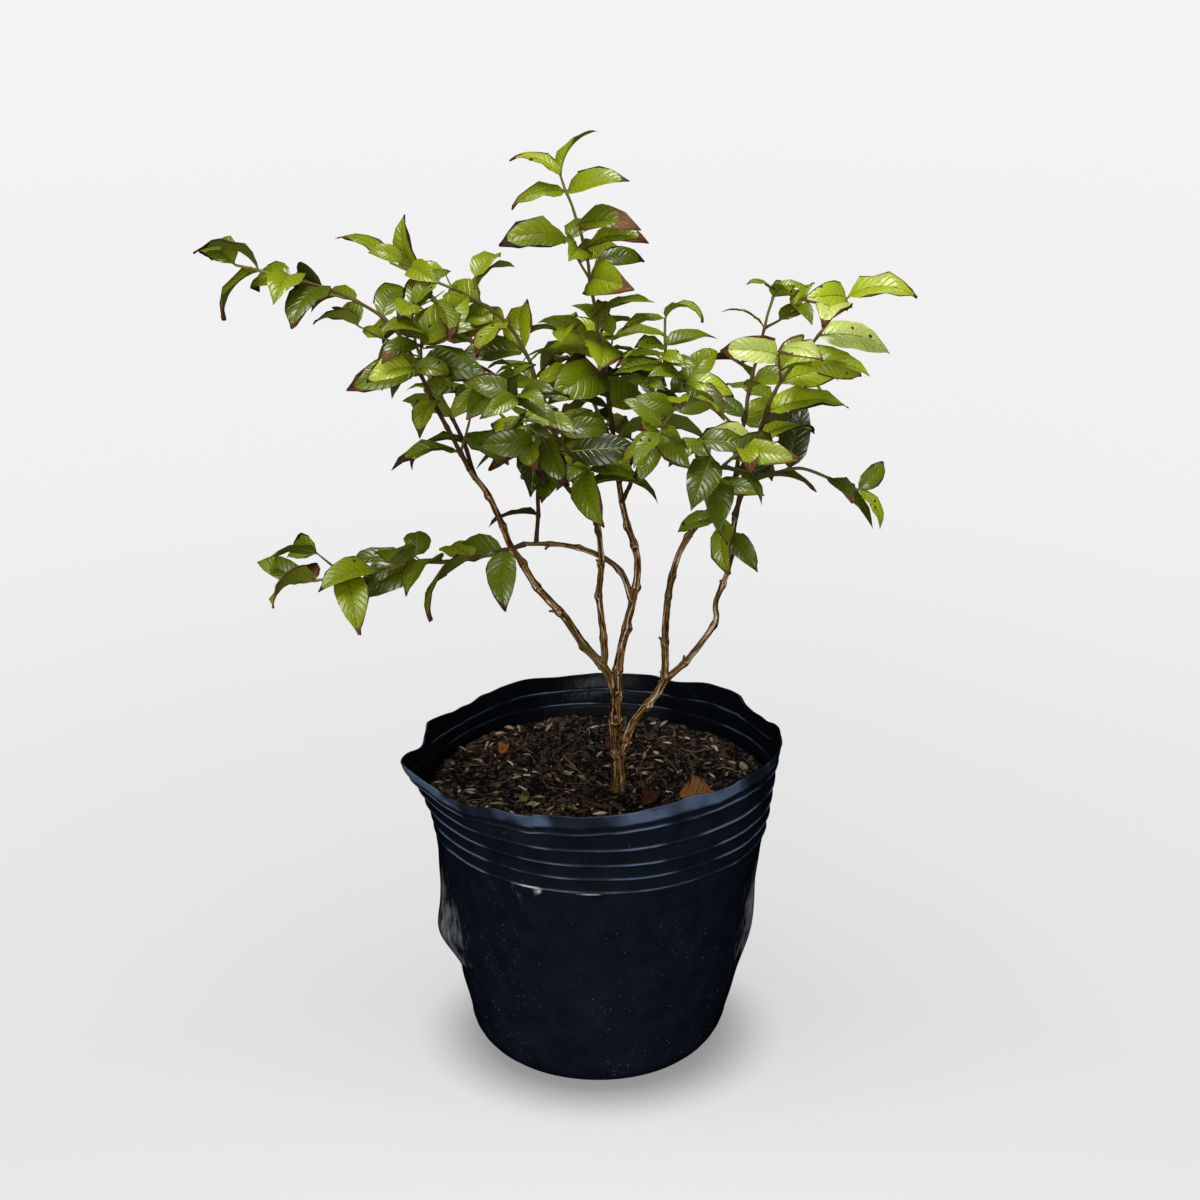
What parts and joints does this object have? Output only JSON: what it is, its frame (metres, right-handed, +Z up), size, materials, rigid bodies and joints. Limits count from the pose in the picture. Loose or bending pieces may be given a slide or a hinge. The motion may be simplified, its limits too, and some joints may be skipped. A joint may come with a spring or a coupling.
{
  "type": "potted jabuticaba",
  "caption": "Young multi-stemmed jabuticaba shrub with opposite pointed leaves, standing in a soft black nursery pot filled with potting mix.",
  "frame": {"origin": "centre of the pot's flat underside, where the plant stands on the floor", "axes": "+Z up along the pot's axis, +X to the right and +Y to the back as seen from the front"},
  "size_m": [0.5534, 0.3656, 0.7536],
  "materials": {
    "pot": "soft black film, satin, scuffed and dusty",
    "soil": "crumbly dark potting mix with husks",
    "bark": "smooth brown bark with pale streaks",
    "leaf": "glossy leathery green leaves with scorched tips"
  },
  "bodies": {
    "root": {"bough_leader": "bark", "bough_left": "bark", "bough_low_left": "bark", "bough_middle": "bark", "bough_right": "bark", "bough_right_outer": "bark", "crown_back": "leaf", "crown_front_left": "leaf", "crown_front_right": "leaf", "crown_leader": "leaf", "crown_left": "leaf", "crown_left_back": "leaf", "crown_low_back": "leaf", "crown_low_left": "leaf", "crown_mid_left": "leaf", "crown_right": "leaf", "crown_right_back": "leaf", "crown_right_front": "leaf", "crown_right_inner": "leaf", "crown_right_low": "leaf", "crown_right_riser": "leaf", "crown_riser": "leaf", "crown_upper_left": "leaf", "pot": "pot", "soil": "soil", "trunk": "bark"}
  },
  "joints": []
}
